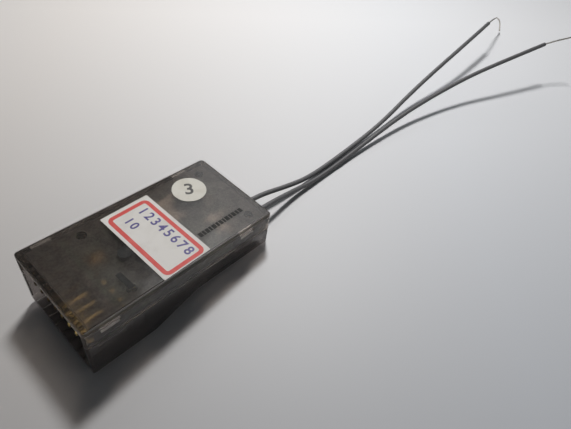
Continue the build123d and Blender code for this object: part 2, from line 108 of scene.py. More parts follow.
# %% Aerial leads
lead_diameter = 0.00125
lead_routes = {
    "a": [
        (23.82078759008, -3.05, 5.329204424077),
        (28.77748623491, -3.05, 4.672593013628),
        (38.8, -5.1, 2.6),
        (45.7, -5.9, 1.3),
        (55.4, -6.2, 0.9),
        (71.0, -6.6, 1.5),
        (80.7, -6.5, 2.3),
        (93.4, -5.9, 4.3),
        (107.1, -6.4, 7.6),
        (122.7, -6.8, 10.2),
        (141.9, -5.7, 10.6),
    ],
    "b": [
        (23.82078759008, -6.9, 5.329204424077),
        (28.77748623491, -6.9, 4.672593013628),
        (37.9, -6.8, 2.2),
        (44.9, -7.5, 1.0),
        (54.0, -7.9, 0.8),
        (64.8, -8.3, 1.4),
        (75.9, -9.0, 2.6),
        (87.0, -10.2, 4.0),
        (100.0, -12.9, 6.0),
        (112.2, -16.5, 8.4),
        (123.2, -21.0, 10.8),
        (138.8, -26.9, 13.2),
    ],
}
leads = {}
for letter, route in lead_routes.items():
    curve = bpy.data.curves.new(f"sheathed_lead_{letter}", "CURVE")
    curve.dimensions = "3D"
    line = curve.splines.new("NURBS")
    line.points.add(len(route) - 1)
    for point, spot_mm in zip(line.points, route):
        point.co = (*(Vector(spot_mm) * MM), 1.0)
        point.radius = lead_diameter / 2
    line.order_u = 3
    line.use_endpoint_u = True
    line.resolution_u = 12
    curve.bevel_depth = 1.0
    curve.bevel_resolution = 6
    curve.use_fill_caps = True
    lead = bpy.data.objects.new(f"sheathed_lead_{letter}", curve)
    bpy.context.collection.objects.link(lead)
    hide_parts(f"aerial_lead_{letter}")
    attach(lead, "root")
    leads[letter] = lead
print("leads:", sorted(leads))

# %% [markdown]
# ## The table
#
# The table is a plain pale sheet, so one flat face is enough. It reaches far beyond the
# view, so that its edge doesn't show.

# %% Table
table_reach = 1.5
table_mesh = bpy.data.meshes.new("table_top")
sheet = bmesh.new()
bmesh.ops.create_grid(sheet, x_segments=1, y_segments=1, size=table_reach)
sheet.to_mesh(table_mesh)
sheet.free()
table_top = bpy.data.objects.new("table_top", table_mesh)
bpy.context.collection.objects.link(table_top)
print("width of the table in m:", 2 * table_reach)

# %% [markdown]
# ## Light
#
# One soft lamp stands behind the case, high and to the right: the photograph's shadows of
# the case corners all point back to it. A pale world fills the shadows. A second, wide and
# weak lamp stands low behind the aerials. Its reflection gives the frosted back its sheen,
# stronger towards the aerial end. A third, small one in front shows only in the edges of
# the near side, as thin bright lines.


# %% Lamps
def soft_lamp(name, stand, aim, side, watts, color=(1.0, 1.0, 1.0)):
    """A square area lamp that faces the point it is aimed at."""
    data = bpy.data.lights.new(name, "AREA")
    data.shape = "SQUARE"
    data.size = side
    data.energy = watts
    data.color = color
    lamp = bpy.data.objects.new(name, data)
    lamp.location = stand
    lamp.rotation_euler = (Vector(aim) - Vector(stand)).to_track_quat("-Z", "Y").to_euler()
    bpy.context.collection.objects.link(lamp)


soft_lamp(
    "key_lamp", stand=(0.138, 0.078, 0.255), aim=(0.01, 0.0, 0.0),
    side=0.041, watts=0.65, color=(1.0, 0.985, 0.97),
)
soft_lamp(
    "sheen_lamp", stand=(0.53, 0.32, 0.485), aim=(0.0, 0.0, 0.0),
    side=0.36, watts=0.62, color=(0.97, 0.98, 1.0),
)
soft_lamp(
    "edge_lamp", stand=(0.18, -0.32, 0.20), aim=(0.0, 0.0, 0.01), side=0.10, watts=0.05,
)

# %% Room
world = bpy.data.worlds.new("room")
bpy.context.scene.world = world
world.use_nodes = True
room = world.node_tree.nodes["Background"]
room.inputs["Color"].default_value = (0.84, 0.92, 1.0, 1.0)
room.inputs["Strength"].default_value = 0.056
bpy.context.scene.view_settings.view_transform = "Standard"
print("strength of the room:", round(room.inputs["Strength"].default_value, 3))

# %% [markdown]
# ## Helpers for nodes
#
# Every material here is made of nodes, without pictures. Nodes that are added and linked
# one by one make long code, so a few short functions do it. They work on a material and on
# a node group alike, and either is called the owner. Where a helper takes a value, it may
# be the output of another node, a colour or a plain number.


# %% Nodes and links
def tree_of(owner):
    """The node tree of a material; a node group is its own tree."""
    return owner if isinstance(owner, bpy.types.NodeTree) else owner.node_tree


def add_node(owner, kind, **settings):
    """A node of that kind, with its settings and, by their names, its input values."""
    node = tree_of(owner).nodes.new(kind)
    for name, value in settings.items():
        if name.startswith("in_"):
            node.inputs[name[3:].replace("_", " ")].default_value = value
        else:
            setattr(node, name, value)
    return node


def join(owner, source, target):
    """A link from one socket to another."""
    tree_of(owner).links.new(source, target)


def feed(owner, value, socket):
    """Gives a socket its value: the output of a node, a colour or a plain number."""
    if isinstance(value, bpy.types.NodeSocket):
        join(owner, value, socket)
    elif isinstance(value, (tuple, list)):
        socket.default_value = (*value, 1.0)
    else:
        socket.default_value = value


print("helpers made:", [helper.__name__ for helper in (add_node, join, feed)])


# %% Sums, mixes and ramps
def combine(owner, operation, first, second=None, clamp=False):
    """The result of a Math node."""
    node = add_node(owner, "ShaderNodeMath", operation=operation, use_clamp=clamp)
    feed(owner, first, node.inputs[0])
    if second is not None:
        feed(owner, second, node.inputs[1])
    return node.outputs[0]


def between(owner, mask, low, high):
    """A number that a mask turns from low to high."""
    mix = add_node(owner, "ShaderNodeMix")
    feed(owner, mask, mix.inputs[0])
    feed(owner, low, mix.inputs[2])
    feed(owner, high, mix.inputs[3])
    return mix.outputs[0]


def ramp(owner, value, start, end, interpolation="LINEAR"):
    """0 where the value is at its start, 1 where it is at its end, and held beyond both."""
    span = add_node(owner, "ShaderNodeMapRange", interpolation_type=interpolation)
    feed(owner, value, span.inputs["Value"])
    feed(owner, start, span.inputs["From Min"])
    feed(owner, end, span.inputs["From Max"])
    return span.outputs[0]


print("helpers made:", [helper.__name__ for helper in (combine, between, ramp)])

# %% [markdown]
# ## Shared effects
#
# Moulded plastic, paper and sheathing all have a fine grain, and everything that is
# handled gets soft smudges and a little dust. Each effect is a node group, so it is made
# once and tuned in every material. A group puts out only a mask or a height, and the
# material decides what to do with it. The grain group mixes two sizes of noise into one
# height. The smudge group gives a mask of large soft patches. The dust group gives small
# sparse specks.


# %% Grain group
def start_group(name, output, **numbers):
    """An empty node group: a Place vector and numbers go in, and one number comes out."""
    group = bpy.data.node_groups.new(name, "ShaderNodeTree")
    group.interface.new_socket("Place", in_out="INPUT", socket_type="NodeSocketVector")
    for key, value in numbers.items():
        label = key.replace("_", " ")
        socket = group.interface.new_socket(label, in_out="INPUT", socket_type="NodeSocketFloat")
        socket.default_value = value
    group.interface.new_socket(output, in_out="OUTPUT", socket_type="NodeSocketFloat")
    return group, group.nodes.new("NodeGroupInput"), group.nodes.new("NodeGroupOutput")


coarse_part = 0.23
grain_group, source, sink = start_group("Fine grain", "Height", Scale=1500.0, Coarse_Share=0.4)
fine = add_node(grain_group, "ShaderNodeTexNoise", in_Detail=3.0)
coarse = add_node(grain_group, "ShaderNodeTexNoise", in_Detail=2.0)
for noise in (fine, coarse):
    join(grain_group, source.outputs["Place"], noise.inputs["Vector"])
fine_scale = source.outputs["Scale"]
join(grain_group, fine_scale, fine.inputs["Scale"])
coarse_scale = combine(grain_group, "MULTIPLY", fine_scale, coarse_part)
join(grain_group, coarse_scale, coarse.inputs["Scale"])
share = source.outputs["Coarse Share"]
grain_height = between(grain_group, share, fine.outputs[0], coarse.outputs[0])
join(grain_group, grain_height, sink.inputs["Height"])
print("nodes in the grain group:", len(grain_group.nodes))

# %% Smudge group
smudge_softness = 0.18
smudge_group, source, sink = start_group("Handling smudges", "Mask", Scale=120.0, Edge=0.5)
cloud = add_node(
    smudge_group, "ShaderNodeTexNoise", in_Detail=5.0, in_Roughness=0.6, in_Distortion=0.6
)
join(smudge_group, source.outputs["Place"], cloud.inputs["Vector"])
join(smudge_group, source.outputs["Scale"], cloud.inputs["Scale"])
edge = source.outputs["Edge"]
start = combine(smudge_group, "SUBTRACT", edge, smudge_softness)
end = combine(smudge_group, "ADD", edge, smudge_softness)
patches = ramp(smudge_group, cloud.outputs[0], start, end, "SMOOTHSTEP")
join(smudge_group, patches, sink.inputs["Mask"])
print("nodes in the smudge group:", len(smudge_group.nodes))

# %% Dust group
dust_group, source, sink = start_group("Dust specks", "Mask", Scale=900.0, Size=0.12)
cells = add_node(dust_group, "ShaderNodeTexVoronoi", in_Randomness=1.0)
join(dust_group, source.outputs["Place"], cells.inputs["Vector"])
join(dust_group, source.outputs["Scale"], cells.inputs["Scale"])
specks = combine(dust_group, "LESS_THAN", cells.outputs["Distance"], source.outputs["Size"])
join(dust_group, specks, sink.inputs["Mask"])
print("shared effects:", [group.name for group in bpy.data.node_groups])

# %% [markdown]
# ## The table's surface
#
# The table is a smooth pale laminate. Its colour turns slowly along two level directions,
# and both turns are painted light: a painted shade makes it darker towards the camera, and a
# painted tint of the light makes it warmer on the left and cooler on the right. A pattern
# reads Object coordinates, which are metres in the frame of the part, and a turn of colour is
# a ramp on the distance along its direction.


# %% Starting a material
def start_material(name, color, roughness, metallic=0.0):
    """A material with one Principled shader, its plain values set on the shader itself."""
    material = bpy.data.materials.new(name)
    material.use_nodes = True
    shader = material.node_tree.nodes["Principled BSDF"]
    shader.inputs["Base Color"].default_value = (*color, 1.0)
    shader.inputs["Roughness"].default_value = roughness
    shader.inputs["Metallic"].default_value = metallic
    return material, shader


def object_place(material):
    """The Object coordinates socket of a material."""
    return add_node(material, "ShaderNodeTexCoord").outputs["Object"]


def color_between(material, mask, low, high):
    """A colour that a mask turns from low to high."""
    mix = add_node(material, "ShaderNodeMix", data_type="RGBA")
    feed(material, mask, mix.inputs[0])
    feed(material, low, mix.inputs[6])
    feed(material, high, mix.inputs[7])
    return mix.outputs[2]


def tint(material, shader, mask, low, high):
    """Turns the base colour from low to high by a mask."""
    join(material, color_between(material, mask, low, high), shader.inputs["Base Color"])


print("helpers made:", [helper.__name__ for helper in (start_material, color_between, tint)])


# %% Table material
def distance_along(material, direction):
    """How far a point lies from the origin along a direction, in metres."""
    along = add_node(material, "ShaderNodeVectorMath", operation="DOT_PRODUCT")
    along.inputs[1].default_value = direction
    join(material, object_place(material), along.inputs[0])
    return along.outputs["Value"]


def slope_mask(material, direction, start, end):
    """A mask that rises from 0 to 1 along a level direction, between two distances."""
    return ramp(material, distance_along(material, (*direction, 0.0)), start, end)


to_the_right = (0.7071, -0.7071)
into_the_view = (0.7071, 0.7071)
table_paint, shader = start_material("table_paint", (0.72, 0.74, 0.75), roughness=0.55)
# Painted light: darker towards the camera, and cooler towards the right.
painted_cool_tint = slope_mask(table_paint, to_the_right, start=-0.05, end=0.08)
painted_falloff = slope_mask(table_paint, into_the_view, start=-0.045, end=0.115)
shaded_near_tone = color_between(table_paint, painted_cool_tint, (0.46, 0.44, 0.425), (0.545, 0.565, 0.60))
lit_far_tone = color_between(table_paint, painted_cool_tint, (0.86, 0.825, 0.795), (0.84, 0.85, 0.87))
tint(table_paint, shader, painted_falloff, shaded_near_tone, lit_far_tone)
table_mesh.materials.append(table_paint)
print("nodes in the table's material:", len(table_paint.node_tree.nodes))

# %% [markdown]
# ## Where a finish lies on the case
#
# One moulding of the case has several finishes, and cutting up its mesh would spoil it. So
# they are told apart by masks: a height above the deep face, measured square to the flat
# back, and rectangles seen from above the back. Both are given in the millimetres of the
# level case, as the part's source gives them.

# %% Masks on the case
case_up = (case_to_world.to_3x3().normalized() @ Vector((0, 0, 1))).normalized()
deep_face_level = case_up.dot(TIP_ORIGIN)


def height_mask(material, start_mm, end_mm):
    """0 at one height of the level case and 1 at the other, and held beyond both."""
    height = distance_along(material, case_up)
    start = deep_face_level + start_mm * MM
    end = deep_face_level + end_mm * MM
    return ramp(material, height, start, end, "SMOOTHSTEP")


def inset_mask(material, low, high, fade):
    """1 inside a rectangle of the level case, seen square to the flat back, 0 outside."""
    to_case = add_node(
        material, "ShaderNodeVectorRotate", rotation_type="Y_AXIS", invert=True,
        in_Center=TIP_ORIGIN, in_Angle=TIP_ANGLE,
    )
    join(material, object_place(material), to_case.inputs["Vector"])
    parts = add_node(material, "ShaderNodeSeparateXYZ")
    join(material, to_case.outputs[0], parts.inputs[0])
    strips = []
    for axis in (0, 1):
        middle = (low[axis] + high[axis]) / 2 * MM + TIP_ORIGIN[axis]
        half = (high[axis] - low[axis]) / 2 * MM
        half_fade = fade * MM / 2
        offset = combine(material, "SUBTRACT", parts.outputs[axis], middle)
        away = combine(material, "ABSOLUTE", offset)
        strips.append(ramp(material, away, half + half_fade, half - half_fade, "SMOOTHSTEP"))
    return combine(material, "MULTIPLY", *strips)


print("way up of the case:", [round(v, 4) for v in case_up])

# %% [markdown]
# ## Smoke-clear plastic
#
# The case is moulded from a clear plastic with a grey-brown smoke tint. Clear plastic blocks
# the lamps, and the boards inside would be black, so for the rays that look for lamps the
# shader is swapped for a tinted Transparent one. Those rays then go straight through, where
# real ones bend, and the hidden inner faces show a highlight that isn't there on the real
# case. So the inner faces, the edge of the mouth and the seam are satin, which spreads that
# highlight out. The long outer walls stay glossy.


# %% Using a group
def use_group(material, group, **values):
    """What a group puts out in a material, with its own values and Object coordinates."""
    node = add_node(material, "ShaderNodeGroup", node_tree=group)
    for name, value in values.items():
        node.inputs[name.replace("_", " ")].default_value = value
    join(material, object_place(material), node.inputs["Place"])
    return node.outputs[0]


def scaled(material, mask, low, high):
    """A mask of 0 to 1, spread over the numbers from low to high."""
    span = add_node(material, "ShaderNodeMapRange", in_To_Min=low, in_To_Max=high)
    join(material, mask, span.inputs["Value"])
    return span.outputs[0]


def bump_from(material, shader, height, relief_mm, strength=1.0):
    """Feeds a height to a Bump node, as a relief that deep."""
    bump = add_node(
        material, "ShaderNodeBump", in_Distance=relief_mm * MM, in_Strength=strength
    )
    join(material, height, bump.inputs["Height"])
    join(material, bump.outputs["Normal"], shader.inputs["Normal"])


print("helpers made:", [helper.__name__ for helper in (use_group, scaled, bump_from)])


# %% What both halves share
def start_smoke(name, clear_color, share_clear):
    """A tinted clear plastic, with the smudges and the grain for its finish."""
    material, shader = start_material(name, clear_color, roughness=0.08)
    shader.inputs["Transmission Weight"].default_value = share_clear
    shader.inputs["IOR"].default_value = 1.50
    smudges = use_group(material, smudge_group, Scale=160.0, Edge=0.55)
    grain = use_group(material, grain_group, Scale=2600.0, Coarse_Share=0.35)
    return material, shader, smudges, grain


def let_lamps_through(material, shader, clear_color, lamp_share):
    """Mixes in a Transparent shader, for the rays that go to lamps only."""
    lamp_color = [lamp_share * channel**0.5 for channel in clear_color]
    clear = add_node(material, "ShaderNodeBsdfTransparent", in_Color=(*lamp_color, 1.0))
    path = add_node(material, "ShaderNodeLightPath")
    mix = add_node(material, "ShaderNodeMixShader")
    join(material, path.outputs["Is Shadow Ray"], mix.inputs[0])
    join(material, shader.outputs[0], mix.inputs[1])
    join(material, clear.outputs[0], mix.inputs[2])
    surface = material.node_tree.nodes["Material Output"].inputs["Surface"]
    join(material, mix.outputs[0], surface)


print("helpers made:", [helper.__name__ for helper in (start_smoke, let_lamps_through)])

# %% Plastic of the base
seam_z = 9.75
seam_start, seam_end = 0.35, 0.2
wall_fade = 0.1
base_color = (0.34, 0.31, 0.30)
satin_roughness = 0.55
base_smoke, shader, smudges, grain = start_smoke("base_smoke", base_color, share_clear=0.86)
between_walls = inset_mask(base_smoke, low=(-25.0, -10.9), high=(22.4, 10.9), fade=wall_fade)
below_seam = height_mask(base_smoke, seam_z - seam_start, seam_z - seam_end)
satin = combine(base_smoke, "MAXIMUM", between_walls, below_seam)
glossy = scaled(base_smoke, smudges, low=0.06, high=0.13)
base_finish = between(base_smoke, satin, glossy, satin_roughness)
join(base_smoke, base_finish, shader.inputs["Roughness"])
bump_from(base_smoke, shader, grain, relief_mm=0.004, strength=0.1)
let_lamps_through(base_smoke, shader, base_color, lamp_share=0.45)
print("nodes in the base's plastic:", len(base_smoke.node_tree.nodes))

# %% [markdown]
# ## The lid and its frosted back
#
# The middle of the flat back is frosted and mottled, with a glossy groove around it and a
# satin rim. The inner face under the frosted field is satin, as the edge of the mouth and
# the seam are. The edge of the mouth also gets a painted shade, a darker colour for the light
# lost where one looks along the plate and not through it. The masks come first, each named
# for the place it covers, and the finish then only turns between them.

# %% Masks of the lid
back_fade = 0.12
lid_color = (0.20, 0.175, 0.155)
lid_smoke, shader, smudges, grain = start_smoke("lid_smoke", lid_color, share_clear=0.95)
outer_face = height_mask(lid_smoke, start_mm=back_z - 0.5, end_mm=back_z - 0.3)
field = inset_mask(lid_smoke, low=(-22.15, -11.35), high=(23.05, 11.8), fade=back_fade)
frost = combine(lid_smoke, "MULTIPLY", outer_face, field)
within_rim = inset_mask(lid_smoke, low=(-25.0, -11.85), high=(23.3, 12.0), fade=back_fade)
rim = combine(lid_smoke, "SUBTRACT", outer_face, within_rim, clamp=True)
plate = height_mask(lid_smoke, start_mm=back_z - 1.9, end_mm=back_z - 1.7)
under_field = combine(lid_smoke, "MULTIPLY", plate, field)
behind_mouth = inset_mask(lid_smoke, low=(-23.35, -20.0), high=(30.0, 20.0), fade=wall_fade)
mouth_edge = combine(lid_smoke, "SUBTRACT", 1.0, behind_mouth)
above_seam = height_mask(lid_smoke, seam_z + seam_start, seam_z + seam_end)
satin = under_field
for mask in (rim, mouth_edge, above_seam):
    satin = combine(lid_smoke, "MAXIMUM", satin, mask)
print("nodes in the lid's masks:", len(lid_smoke.node_tree.nodes))

# %% Plastic of the lid
frost_color = (0.25, 0.222, 0.195)
dark_frost = [channel * 0.62 for channel in frost_color]
pale_frost = [channel * 1.42 for channel in frost_color]
mouth_shade_color = [channel * 0.25 for channel in lid_color]
clear_roughness, satin_roughness = 0.12, 0.65

unfrosted = between(lid_smoke, satin, clear_roughness, satin_roughness)
frosted = scaled(lid_smoke, smudges, low=0.15, high=0.21)
join(lid_smoke, between(lid_smoke, frost, unfrosted, frosted), shader.inputs["Roughness"])

spots = use_group(lid_smoke, grain_group, Scale=2000.0, Coarse_Share=0.5)
mottle = ramp(lid_smoke, spots, start=0.36, end=0.64)
frost_tone = color_between(lid_smoke, mottle, dark_frost, pale_frost)
# Painted shade: the edge of the mouth gets a darker colour.
clear_tone = color_between(lid_smoke, mouth_edge, lid_color, mouth_shade_color)
tint(lid_smoke, shader, frost, clear_tone, frost_tone)

frost_grain = combine(lid_smoke, "MULTIPLY", frost, grain)
bump_from(lid_smoke, shader, frost_grain, relief_mm=0.008, strength=0.5)
let_lamps_through(lid_smoke, shader, lid_color, lamp_share=0.95)
print("smoke plastics:", lid_smoke.name, base_smoke.name)

# %% [markdown]
# ## The boards
#
# The boards are glass fibre with a green solder mask. Under the mask run copper traces,
# which show as slightly lighter, slightly raised lines. Drawing a circuit would be long
# work for something that is seen dimly. Thin bands of a wave pattern, broken up by a cell
# pattern, give short straight runs of trace instead.

# %% Board material
mask_green = (0.045, 0.12, 0.07)
trace_green = (0.12, 0.24, 0.12)
band_level = 0.78
block_level = 0.45
board_green, shader = start_material("board_green", (0.05, 0.13, 0.08), roughness=0.38)
runs = add_node(board_green, "ShaderNodeTexWave", bands_direction="Y", in_Scale=330.0)
blocks = add_node(board_green, "ShaderNodeTexVoronoi", distance="CHEBYCHEV", in_Scale=260.0)
for pattern in (runs, blocks):
    join(board_green, object_place(board_green), pattern.inputs["Vector"])
band = combine(board_green, "GREATER_THAN", runs.outputs["Fac"], band_level)
chosen = combine(board_green, "GREATER_THAN", blocks.outputs["Color"], block_level)
trace = combine(board_green, "MULTIPLY", band, chosen)
tint(board_green, shader, trace, mask_green, trace_green)
bump_from(board_green, shader, trace, relief_mm=0.03, strength=0.6)
print("nodes in the board's material:", len(board_green.node_tree.nodes))

# %% [markdown]
# ## Metals
#
# The header pins and the coaxial sockets are gold over nickel. The coaxial plugs, the
# crystal, the shield can and the bare wires are tinned. All of them differ from a mirror
# only by small things, a fine grain and a cloudy bloom, and roughness carries most of it.
# The header pins carry a painted shade: their gold turns to a dark bronze across the case,
# away from its near side, so they have a material of their own.


# %% Plated metals
def vary_roughness(material, shader, mask, low, high):
    """Turns the roughness from low to high by a mask."""
    join(material, scaled(material, mask, low, high), shader.inputs["Roughness"])


def plated_metal(name, clean, clouded, roughness, bloom_scale):
    """A plated metal with a cloudy bloom and a fine grain."""
    material, shader = start_material(name, clean, roughness, metallic=1.0)
    bloom = use_group(material, smudge_group, Scale=bloom_scale, Edge=0.5)
    tint(material, shader, bloom, clean, clouded)
    vary_roughness(material, shader, bloom, roughness * 0.8, roughness * 1.5)
    grain = use_group(material, grain_group, Scale=4000.0, Coarse_Share=0.3)
    bump_from(material, shader, grain, relief_mm=0.01, strength=0.25)
    return material


pin_gold = plated_metal(
    "pin_gold", clean=(1.0, 0.74, 0.34), clouded=(0.85, 0.56, 0.20),
    roughness=0.40, bloom_scale=900.0,
)
plain_tin = plated_metal(
    "plain_tin", clean=(0.72, 0.72, 0.70), clouded=(0.55, 0.54, 0.51),
    roughness=0.30, bloom_scale=500.0,
)
tinned_wire = plated_metal(
    "tinned_wire", clean=(0.66, 0.63, 0.58), clouded=(0.45, 0.42, 0.38),
    roughness=0.32, bloom_scale=700.0,
)
print("plated metals:", pin_gold.name, plain_tin.name, tinned_wire.name)

# %% Gold of the header pins
bright_gold = (0.86, 0.73, 0.37)
worn_gold = (0.72, 0.57, 0.22)
shaded_bronze = (0.12, 0.09, 0.055)
across_case = (0.0, 1.0)
header_gold, shader = start_material("header_gold", bright_gold, roughness=0.42, metallic=1.0)
# Painted shade: the gold of the pins darkens to bronze towards the far side of the case.
far_side_shade = slope_mask(header_gold, across_case, start=-0.0032, end=-0.0008)
wear = use_group(header_gold, smudge_group, Scale=900.0, Edge=0.5)
gold_tone = color_between(header_gold, wear, bright_gold, worn_gold)
tint(header_gold, shader, far_side_shade, gold_tone, shaded_bronze)
vary_roughness(header_gold, shader, wear, low=0.36, high=0.50)
print("nodes in the pins' material:", len(header_gold.node_tree.nodes))

# %% [markdown]
# ## Moulded and fired parts
#
# Chips, the header strips, the ferrite core, ceramic parts and the tantalum capacitors are
# matt solids that differ in colour and in the size of their grain. One function makes
# them, with a light and a dark tone that the smudge mask turns between. The little status
# lamp is made by it too, only smoother.


# %% Matt solids
def matt_solid(name, light, dark, roughness, grain_scale, relief_mm):
    """A moulded or fired solid, smudged between two tones, with an even grain."""
    material, shader = start_material(name, light, roughness)
    smudges = use_group(material, smudge_group, Scale=350.0, Edge=0.5)
    tint(material, shader, smudges, light, dark)
    grain = use_group(material, grain_group, Scale=grain_scale, Coarse_Share=0.3)
    vary_roughness(material, shader, grain, roughness - 0.06, roughness + 0.08)
    bump_from(material, shader, grain, relief_mm, strength=0.5)
    return material


header_black = matt_solid(
    "header_black", light=(0.13, 0.105, 0.092), dark=(0.08, 0.066, 0.058),
    roughness=0.45, grain_scale=3000, relief_mm=0.01,
)
chip_black = matt_solid(
    "chip_black", light=(0.05, 0.05, 0.054), dark=(0.032, 0.032, 0.034),
    roughness=0.55, grain_scale=5000, relief_mm=0.008,
)
ferrite_grey = matt_solid(
    "ferrite_grey", light=(0.17, 0.16, 0.155), dark=(0.11, 0.105, 0.10),
    roughness=0.65, grain_scale=3500, relief_mm=0.02,
)
ceramic_beige = matt_solid(
    "ceramic_beige", light=(0.66, 0.58, 0.45), dark=(0.52, 0.45, 0.34),
    roughness=0.45, grain_scale=4000, relief_mm=0.01,
)
tantalum_yellow = matt_solid(
    "tantalum_yellow", light=(0.78, 0.52, 0.13), dark=(0.62, 0.38, 0.08),
    roughness=0.42, grain_scale=4000, relief_mm=0.01,
)
lamp_clear = matt_solid(
    "lamp_clear", light=(0.86, 0.85, 0.76), dark=(0.74, 0.73, 0.62),
    roughness=0.20, grain_scale=2500, relief_mm=0.005,
)
print("finishes so far:", len(bpy.data.materials))

# %% [markdown]
# ## Sheath of the leads
#
# The sheath is a smooth grey extruded plastic, slightly glossy, with dust caught on it.

# %% Sheath material
sheath_grey = (0.115, 0.115, 0.118)
dust_grey = (0.24, 0.24, 0.24)
lead_sheath, shader = start_material("lead_sheath", sheath_grey, roughness=0.42)
dust = use_group(lead_sheath, dust_group, Scale=1400.0, Size=0.16)
tint(lead_sheath, shader, dust, sheath_grey, dust_grey)
wear = use_group(lead_sheath, smudge_group, Scale=90.0, Edge=0.5)
vary_roughness(lead_sheath, shader, wear, low=0.34, high=0.55)
grain = use_group(lead_sheath, grain_group, Scale=2500.0, Coarse_Share=0.3)
bump_from(lead_sheath, shader, grain, relief_mm=0.01, strength=0.3)
print("nodes in the sheath's material:", len(lead_sheath.node_tree.nodes))

# %% [markdown]
# ## Paper and film
#
# The label and the round sticker are uncoated paper: off-white, fully matt, with the
# fibres just visible, and a little grey where fingers have rubbed it. The plate in the
# stepped face carries a smooth dark film, for which the function for matt solids will do.


# %% Paper and film materials
def paper(name, light, rubbed):
    """Uncoated paper, greyer where it is rubbed."""
    material, shader = start_material(name, light, roughness=0.75)
    rub = use_group(material, smudge_group, Scale=220.0, Edge=0.58)
    tint(material, shader, rub, light, rubbed)
    fibres = use_group(material, grain_group, Scale=4500.0, Coarse_Share=0.5)
    vary_roughness(material, shader, fibres, low=0.68, high=0.85)
    bump_from(material, shader, fibres, relief_mm=0.02, strength=0.5)
    return material


label_paper = paper("label_paper", light=(0.66, 0.64, 0.61), rubbed=(0.58, 0.555, 0.52))
sticker_paper = paper("sticker_paper", light=(0.63, 0.61, 0.55), rubbed=(0.55, 0.525, 0.46))
dark_film = matt_solid(
    "dark_film", light=(0.05, 0.05, 0.055), dark=(0.035, 0.035, 0.038),
    roughness=0.35, grain_scale=1800, relief_mm=0.01,
)
print("finishes so far:", len(bpy.data.materials))

# %% [markdown]
# ## Dressing the parts of the frame
#
# Each CAD part keeps its mesh and gets one of these finishes. The table below reads like a
# parts list, which makes it easy to see that nothing was left in a plain colour.

# %% Finishes of the parts
finishes = {
    lid_smoke: ["case_lid"],
    base_smoke: ["case_base"],
    board_green: ["main_board", "header_board"],
    header_black: ["signal_strip", "power_strip", "ground_strip"],
    header_gold: ["signal_pins", "power_pins", "ground_pins"],
    pin_gold: ["coax_socket_a", "coax_socket_b"],
    plain_tin: ["shield_can", "crystal", "coax_plug_a", "coax_plug_b"],
    tinned_wire: ["aerial_wire_a", "aerial_wire_b"],
    chip_black: ["radio_chip", "microcontroller", "voltage_regulator", "reservoir_capacitor"],
    ferrite_grey: ["inductor"],
    ceramic_beige: ["band_filter", "chip_parts"],
    tantalum_yellow: ["tantalum_input", "tantalum_radio"],
    lamp_clear: ["status_lamp"],
    lead_sheath: ["aerial_lead_a", "aerial_lead_b", "coax_tail_a", "coax_tail_b"],
    label_paper: ["back_label"],
    sticker_paper: ["round_sticker"],
    dark_film: ["front_plate"],
}


def dress(obj, material):
    """The object shows this material only."""
    obj.data.materials.clear()
    obj.data.materials.append(material)


for material, names in finishes.items():
    for name in names:
        dress(nodes[name], material)
for lead in leads.values():
    dress(lead, lead_sheath)
left_plain = set(nodes) - {name for names in finishes.values() for name in names}
print("parts without a finish:", sorted(left_plain))

# %% [markdown]
# ## Adding pieces on the level case
#
# Prints and the painted glint strips are modelled with bmesh operators on the level case, in
# millimetres. The first function below finishes each of them: it moves the mesh to its
# tipped place, gives it its material, and lets it ride on the body of the part. The others
# make a flat rounded shape, raise a flat shape to a thin solid, and set it in its place.


# %% Finishing a new piece
def add_piece(name, work, material):
    """Turns a bmesh on the level case, in millimetres, into a finished piece."""
    mesh = bpy.data.meshes.new(name)
    work.to_mesh(mesh)
    work.free()
    mesh.transform(case_to_world)
    piece = bpy.data.objects.new(name, mesh)
    bpy.context.collection.objects.link(piece)
    mesh.materials.append(material)
    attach(piece, "root")
    print(f"{name}: {len(mesh.polygons)} faces")


def flat_rounded(length, width, corner, segments=5):
    """A flat rounded rectangle about the origin: one face whose corners are bevelled."""
    work = bmesh.new()
    bmesh.ops.create_grid(work, x_segments=1, y_segments=1, size=0.5)
    bmesh.ops.scale(work, vec=(length, width, 1), verts=work.verts)
    bmesh.ops.bevel(
        work, geom=work.verts[:], offset=corner, affect="VERTICES", segments=segments,
        profile=0.5, material=-1,
    )
    return work


def thicken(work, height):
    """Raises all faces of a flat bmesh into a thin solid that stands on it."""
    grown = bmesh.ops.extrude_face_region(work, geom=work.faces[:])
    raised = [item for item in grown["geom"] if isinstance(item, bmesh.types.BMVert)]
    bmesh.ops.translate(work, vec=(0, 0, height), verts=raised)
    bmesh.ops.recalc_face_normals(work, faces=work.faces)


def set_on_case(work, x, y, z, turn=0.0):
    """Turns a bmesh about the vertical and moves it to its place on the level case."""
    turned = Matrix.Rotation(math.radians(turn), 3, "Z")
    bmesh.ops.rotate(work, cent=(0, 0, 0), matrix=turned, verts=work.verts)
    bmesh.ops.translate(work, vec=(x, y, z), verts=work.verts)


# %% [markdown]
# ## The label's red frame
#
# The label is printed with a red frame with round corners. A print has no real thickness,
# but a film of two hundredths of a millimetre keeps it clear of the paper. The frame is one
# rounded face, inset by the width of the stroke, with its middle taken out. Its ink, like
# the other inks here, is a little thin in places.


# %% Red ink
def print_ink(name, color, worn_color, roughness=0.55):
    """A printed colour that is a little thin in places."""
    material, shader = start_material(name, color, roughness)
    thin = use_group(material, smudge_group, Scale=700.0, Edge=0.56)
    tint(material, shader, thin, color, worn_color)
    fibres = use_group(material, grain_group, Scale=4500.0, Coarse_Share=0.5)
    vary_roughness(material, shader, fibres, roughness - 0.08, roughness + 0.12)
    bump_from(material, shader, fibres, relief_mm=0.02, strength=0.4)
    return material


frame_red = print_ink("frame_red", (0.55, 0.035, 0.028), (0.58, 0.07, 0.055))
print("ink:", frame_red.name)

# %% Red frame
print_film = 0.02
label_thickness = 0.12
label_top_z = back_z + label_thickness
label_turn = 1.5
frame_place = (-0.45, -1.25)
frame_length, frame_width, frame_stroke, frame_corner = 10.3, 20.2, 0.95, 1.4

